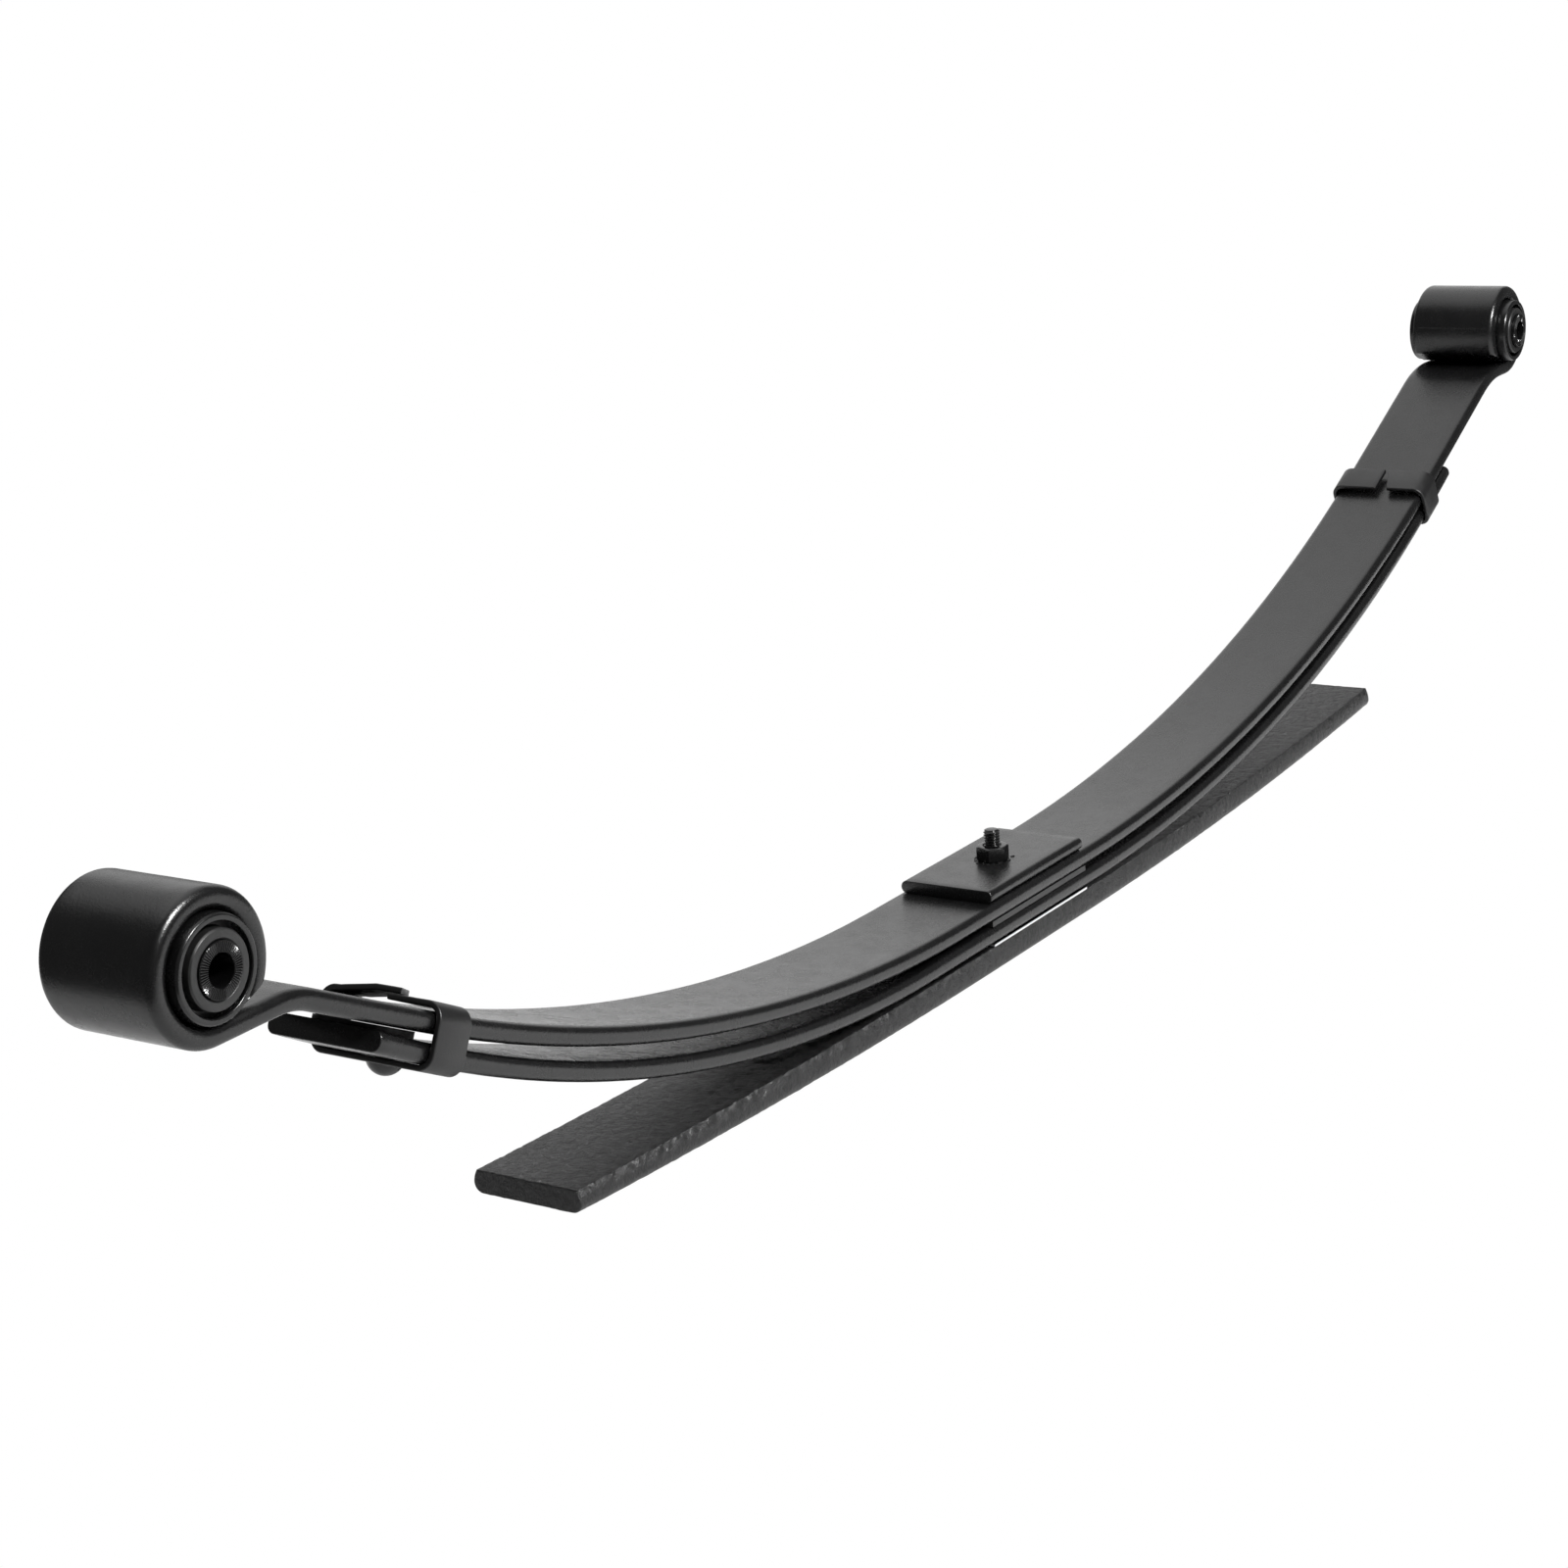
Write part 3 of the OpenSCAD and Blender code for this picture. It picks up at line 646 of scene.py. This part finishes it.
def strap_path(high, near, far, lift):
    """Centre line of a clip strap in its (y, z) plane, from far ear to near."""
    t = CLIP_T / 2
    low = -SECOND_T - CLEAR - t
    side = HALF + 0.4 + t
    top = high + t
    r_top, r_low = 5.4 + t, 4.4 + t
    points = []

    def turn(cy, cz, r, a0, a1, n=9):
        for k in range(n + 1):
            a = math.radians(a0 + (a1 - a0) * k / n)
            points.append((cy + r * math.cos(a), cz + r * math.sin(a)))

    if lift:
        points += [(far, top + lift), (-6.0, top + lift), (-1.0, top + lift),
                   (RAISED_END, top + lift), (4.4, top + lift - 0.06),
                   (6.5, top + lift - 0.38)]
        points += [(side - r_top - 5, top + 0.55), (side - r_top - 2.5, top + 0.12)]
    else:
        points += [(far, top), (far + 3, top), (side - r_top - 6, top)]
    turn(side - r_top, top - r_top, r_top, 90, 0)
    points.append((side, 0.0))
    turn(side - r_low, low + r_low, r_low, 0, -90)
    points += [(12, low), (0, low), (-12, low)]
    turn(-side + r_low, low + r_low, r_low, -90, -180)
    points.append((-side, 0.0))
    turn(-side + r_top, top - r_top, r_top, 180, 90)
    points += [(-side + r_top + 6, top)]
    points += [(near - back, top) for back in (12, 6, 1, 0)]
    return points


def build_clip(name, where, high, near, far, lift, slant, far_slant):
    """A strap round the leaf pair. The far ear is lifted where it rides over
    the near one, and each ear's end slants across the strap."""
    path = strap_path(high, near, far, lift)
    m = len(path)
    edge, n = 0.7, 4
    rings = []

    def ring(i, inset, along):
        p = Vector(path[i])
        a, b = Vector(path[max(i - 1, 0)]), Vector(path[min(i + 1, m - 1)])
        tangent = (b - a).normalized()
        normal = Vector((tangent.y, -tangent.x))
        w, t = CLIP_W / 2 - inset, CLIP_T / 2 - inset
        r = max(edge - inset, 0.05)
        out = []
        for cx, ct, a0 in ((w - r, t - r, 0), (-w + r, t - r, 90), (-w + r, -t + r, 180),
                           (w - r, -t + r, 270)):
            for k in range(n + 1):
                c = math.radians(a0 + 90 * k / n)
                out.append((cx + r * math.cos(c), ct + r * math.sin(c)))
        # the rings behind a slanted end follow it less and less
        lean = 0.0
        if i < 4:
            lean = -far_slant * max(0.0, 1 - (p.x - far) / (RAISED_END - far))
        elif i >= m - 4:
            lean = slant * max(0.0, 1 - (near - p.x) / 12.0)
        points = []
        for x, d in out:
            q = p + tangent * (along - lean * (0.5 - x / CLIP_W)) + normal * -d
            points.append(where @ Vector((x, q.x, q.y)))
        return [tuple(q) for q in points]

    rad = 0.45
    for a in (90, 60, 30):
        rings.append(ring(0, rad * (1 - math.cos(math.radians(a))),
                          rad * (1 - math.sin(math.radians(a)))))
    rings += [ring(i, 0, 0) for i in range(1, m - 1)]
    for a in (0, 30, 60, 90):
        rings.append(ring(m - 1, rad * (1 - math.cos(math.radians(a))),
                          -rad * (1 - math.sin(math.radians(a)))))
    verts, faces = skin(rings)
    verts = rough(verts, 0.06, 7.0, 5)
    piece(name + "_clip_strap", verts, faces, CLIP_PAINT,
          nodes=[name + "_clip"], sharp=45)


def build_rivets(frames):
    """Domed heads under the straps and the shanks with their sunk heads."""
    low = -SECOND_T - CLIP_T - CLEAR
    ball = (RIVET_HEAD_R ** 2 + RIVET_HEAD_H ** 2) / (2 * RIVET_HEAD_H)
    profile = [(0.01, -0.1), (6.3, -0.1), (RIVET_R, -2.5), (RIVET_R, low)]
    for k in range(11):
        a = math.asin(RIVET_HEAD_R / ball) * (1 - k / 10)
        profile.append((max(0.01, ball * math.sin(a)),
                        low - RIVET_HEAD_H + ball - ball * math.cos(a)))
    parts = []
    for where in frames:
        rings = []
        for i in range(64):
            a = 2 * math.pi * i / 64
            rings.append([tuple(where @ Vector((r * math.cos(a), r * math.sin(a), z)))
                          for r, z in profile])
        parts.append(skin(rings, closed=True))
    verts, faces = join(parts)
    piece("clip_rivets_painted", verts, faces, GLOSS_PAINT,
          nodes=["clip_rivets"])


def build_seam():
    """Low die line along the outside of the rear eye."""
    angle = math.radians(180 - 10.5)
    out = Vector((math.cos(angle), 0, math.sin(angle)))
    along = Vector((-out.z, 0, out.x))
    base = Vector(REAR_EYE) + out * (EYE_R + MAIN_T - 0.06)
    half, count = 27.0, 72
    rings = []
    for i in range(count + 1):
        y = -half + 2 * half * i / count
        fade = min(1.0, (half - abs(y)) / 3 + 0.02)
        rise = fade * (0.13 + 0.05 * noise.noise(Vector((y / 3, 4.2, 0))))
        ring = []
        for k in range(8):
            a = 2 * math.pi * k / 8
            ring.append(tuple(base + Vector((0, y, 0)) + along * (0.38 * math.cos(a))
                              + out * (rise * math.sin(a))))
        rings.append(ring)
    verts, faces = skin(rings)
    piece("rear_eye_seam", verts, faces, LEAF_PAINT)


def blob(centre, size, seed, squash=(1, 1, 0.5)):
    """A small lump of dried paint."""
    bm = bmesh.new()
    bmesh.ops.create_icosphere(bm, subdivisions=3, radius=1.0)
    verts = []
    for v in bm.verts:
        k = 1 + 0.45 * noise.noise(v.co * 1.3 + Vector((seed * 3.1, 0, seed)))
        verts.append(tuple(Vector(centre) + Vector(
            [v.co[i] * k * size * squash[i] for i in range(3)])))
    faces = [tuple(v.index for v in f.verts) for f in bm.faces]
    bm.free()
    return verts, faces


def build_paint_runs():
    """Dried paint round the nut, and bridging the front sleeve and the eye."""
    parts = []
    for i in range(26):
        a = math.radians(i * 137.5)     # the golden angle spreads them evenly
        r = 8.6 + 2.6 * abs(noise.noise(Vector((i * 1.7, 0.3, 0)))) * 1.6
        size = 0.5 + 1.5 * abs(noise.noise(Vector((i * 2.3, 7.7, 1.1))))
        parts.append(blob((r * math.cos(a), r * math.sin(a), Z_PLATE + 0.05), size, i))
    verts, faces = join(parts)
    piece("nut_paint_specks", verts, faces, GLOSS_PAINT)
    parts = []
    for i in range(40):
        a = math.radians(4 - 78 * i / 39)
        wob = noise.noise(Vector((i * 0.9, 2.2, 5.0)))
        r = EYE_R - 0.1 + 0.9 * wob
        size = 0.75 + 0.75 * abs(noise.noise(Vector((i * 1.3, 9.1, 0))))
        parts.append(blob((FRONT_EYE[0] + r * math.cos(a), -HALF - 0.2 + 0.5 * wob,
                           FRONT_EYE[2] + r * math.sin(a)), size, i + 50, (1, 1, 1)))
    verts, faces = join(parts)
    piece("front_eye_paint_web", verts, faces, GLOSS_PAINT)


build_main_leaf()
build_second_leaf()
build_overload_leaf()
build_plate()
build_bolt()
build_nut()
build_bush("front", FRONT_EYE, lip=3.0, proud=5.0)
build_bush("rear", REAR_EYE, lip=5.5, proud=9.0)
AT_FRONT = on_second(-1, SECOND_FRONT, FRONT_CLIP_X)
AT_REAR = on_second(1, SECOND_REAR, REAR_CLIP_X)
build_clip("front", AT_FRONT, high=14.4, near=-3.0, far=-10.0, lift=CLIP_T + 0.3,
           slant=6.0, far_slant=13.0)
build_clip("rear", AT_REAR, high=15.0, near=-1.0, far=1.0, lift=0.0, slant=6.0, far_slant=0.0)
build_rivets([AT_FRONT, AT_REAR])
build_seam()
build_paint_runs()

# plain flat pieces keep their CAD meshes
for node, mat in (("upper_spacer", CLIP_PAINT), ("lower_spacer", ZINC),
                  ("front_tip_pad", PAD), ("rear_tip_pad", PAD)):
    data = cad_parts[node].data
    data.materials.clear()
    data.materials.append(mat)


# ---- floor, light and camera ---------------------------------------------

FLOOR_R = 0.98          # metres
# brighter parts of the studio: azimuth, elevation, inner and outer angle of
# the soft edge in degrees, and brightness; DIM is the rest of the room
LOBES = ((34, 24, 14, 31, 1.15), (50, 68, 18, 40, 1.4))
DIM = 0.17
CAMERA_AT = (-1.3644, -0.8036, 0.5502)
CAMERA_TURN = (34.511, 16.053, -4.218)      # yaw, pitch down and roll
CAMERA_LENS, SENSOR_W = 69.64, 36.0


def build_floor():
    """Pale floor just below the bolt head, plain white to the camera."""
    mesh = bpy.data.meshes.new("floor")
    z = -(HEAD_H + 0.05) * MM
    n, r = 96, FLOOR_R
    mesh.from_pydata([(0.05 + r * math.cos(2 * math.pi * i / n),
                       r * math.sin(2 * math.pi * i / n), z) for i in range(n)], [],
                     [tuple(range(n))])
    mat, tree, shader, where = material("pale_floor")
    tree.links.new(tint(tree, noise_node(tree, where, 3, 2), (0.78, 0.78, 0.78),
                        (0.82, 0.82, 0.82)), shader.inputs["Base Color"])
    shader.inputs["Roughness"].default_value = 0.9
    shader.inputs["Specular IOR Level"].default_value = 0.1
    white = tree.nodes.new("ShaderNodeEmission")
    path = tree.nodes.new("ShaderNodeLightPath")
    mix = tree.nodes.new("ShaderNodeMixShader")
    tree.links.new(path.outputs["Is Camera Ray"], mix.inputs[0])
    tree.links.new(shader.outputs[0], mix.inputs[1])
    tree.links.new(white.outputs[0], mix.inputs[2])
    tree.links.new(mix.outputs[0], tree.nodes["Material Output"].inputs[0])
    mesh.materials.append(mat)
    obj = bpy.data.objects.new("floor", mesh)
    bpy.context.scene.collection.objects.link(obj)


def build_world():
    """White to the eye; to the paint, a bright wall behind the part and a
    softbox above it, with a dim room on the other sides."""
    world = bpy.data.worlds.new("studio")
    bpy.context.scene.world = world
    world.use_nodes = True
    tree = world.node_tree
    tree.nodes.clear()
    out = tree.nodes.new("ShaderNodeOutputWorld")
    coords = tree.nodes.new("ShaderNodeTexCoord")

    def lobe(azimuth, elevation, inner, outer, value):
        a, e = math.radians(azimuth), math.radians(elevation)
        dot = tree.nodes.new("ShaderNodeVectorMath")
        dot.operation = "DOT_PRODUCT"
        dot.inputs[1].default_value = (math.cos(a) * math.cos(e), math.sin(a) * math.cos(e),
                                       math.sin(e))
        tree.links.new(coords.outputs["Generated"], dot.inputs[0])
        node = tree.nodes.new("ShaderNodeMapRange")
        node.interpolation_type = "SMOOTHSTEP"
        node.inputs["From Min"].default_value = math.cos(math.radians(outer))
        node.inputs["From Max"].default_value = math.cos(math.radians(inner))
        node.inputs["To Min"].default_value = 0
        node.inputs["To Max"].default_value = value
        tree.links.new(dot.outputs["Value"], node.inputs["Value"])
        return node.outputs["Result"]

    total = None
    for spec in LOBES:
        value = lobe(*spec)
        if total is not None:
            add = tree.nodes.new("ShaderNodeMath")
            add.operation = "MAXIMUM"
            tree.links.new(total, add.inputs[0])
            tree.links.new(value, add.inputs[1])
            value = add.outputs[0]
        total = value
    base = tree.nodes.new("ShaderNodeMath")
    base.operation = "ADD"
    base.inputs[1].default_value = DIM
    tree.links.new(total, base.inputs[0])
    seen = tree.nodes.new("ShaderNodeBackground")
    seen.inputs["Color"].default_value = (1, 1, 1, 1)
    lit = tree.nodes.new("ShaderNodeBackground")
    tree.links.new(base.outputs[0], lit.inputs["Strength"])
    path = tree.nodes.new("ShaderNodeLightPath")
    mix = tree.nodes.new("ShaderNodeMixShader")
    tree.links.new(path.outputs["Is Camera Ray"], mix.inputs[0])
    tree.links.new(lit.outputs[0], mix.inputs[1])
    tree.links.new(seen.outputs[0], mix.inputs[2])
    tree.links.new(mix.outputs[0], out.inputs[0])


def area(name, azimuth, elevation, distance, size, watts, glossy=True, diffuse=True):
    """A square softbox aimed at the middle of the part."""
    light = bpy.data.lights.new(name, "AREA")
    light.size = size
    light.energy = watts
    obj = bpy.data.objects.new(name, light)
    a, e = math.radians(azimuth), math.radians(elevation)
    way = Vector((math.cos(a) * math.cos(e), math.sin(a) * math.cos(e), math.sin(e)))
    obj.location = Vector((0, 0, 0.1)) + way * distance
    obj.rotation_euler = (-way).to_track_quat("-Z", "Y").to_euler()
    obj.visible_glossy = glossy
    obj.visible_diffuse = diffuse
    bpy.context.scene.collection.objects.link(obj)


def build_camera():
    """The photograph's camera, solved from the leaf edges and both eyes."""
    yaw, pitch, roll = (math.radians(v) for v in CAMERA_TURN)
    d = Vector((math.cos(yaw) * math.cos(pitch), math.sin(yaw) * math.cos(pitch),
                -math.sin(pitch)))
    right = Vector((math.sin(yaw), -math.cos(yaw), 0))
    up = right.cross(d)
    r2 = right * math.cos(roll) + up * math.sin(roll)
    u2 = -right * math.sin(roll) + up * math.cos(roll)
    m = Matrix((r2, u2, -d)).transposed().to_4x4()
    m.translation = Vector(CAMERA_AT)
    data = bpy.data.cameras.new("camera")
    data.lens = CAMERA_LENS
    data.sensor_width = SENSOR_W
    data.sensor_fit = "HORIZONTAL"
    data.clip_end = 100
    cam = bpy.data.objects.new("camera", data)
    cam.matrix_world = m
    bpy.context.scene.collection.objects.link(cam)
    bpy.context.scene.camera = cam


build_floor()
build_world()
area("side_softbox", azimuth=258, elevation=42, distance=2.6, size=0.42, watts=42)
area("rim_glint", azimuth=254, elevation=46, distance=2.6, size=0.5, watts=95, diffuse=False)
area("floor_fill", azimuth=305, elevation=58, distance=1.7, size=0.9, watts=24, glossy=False)
build_camera()
bpy.context.scene.view_settings.view_transform = "Standard"
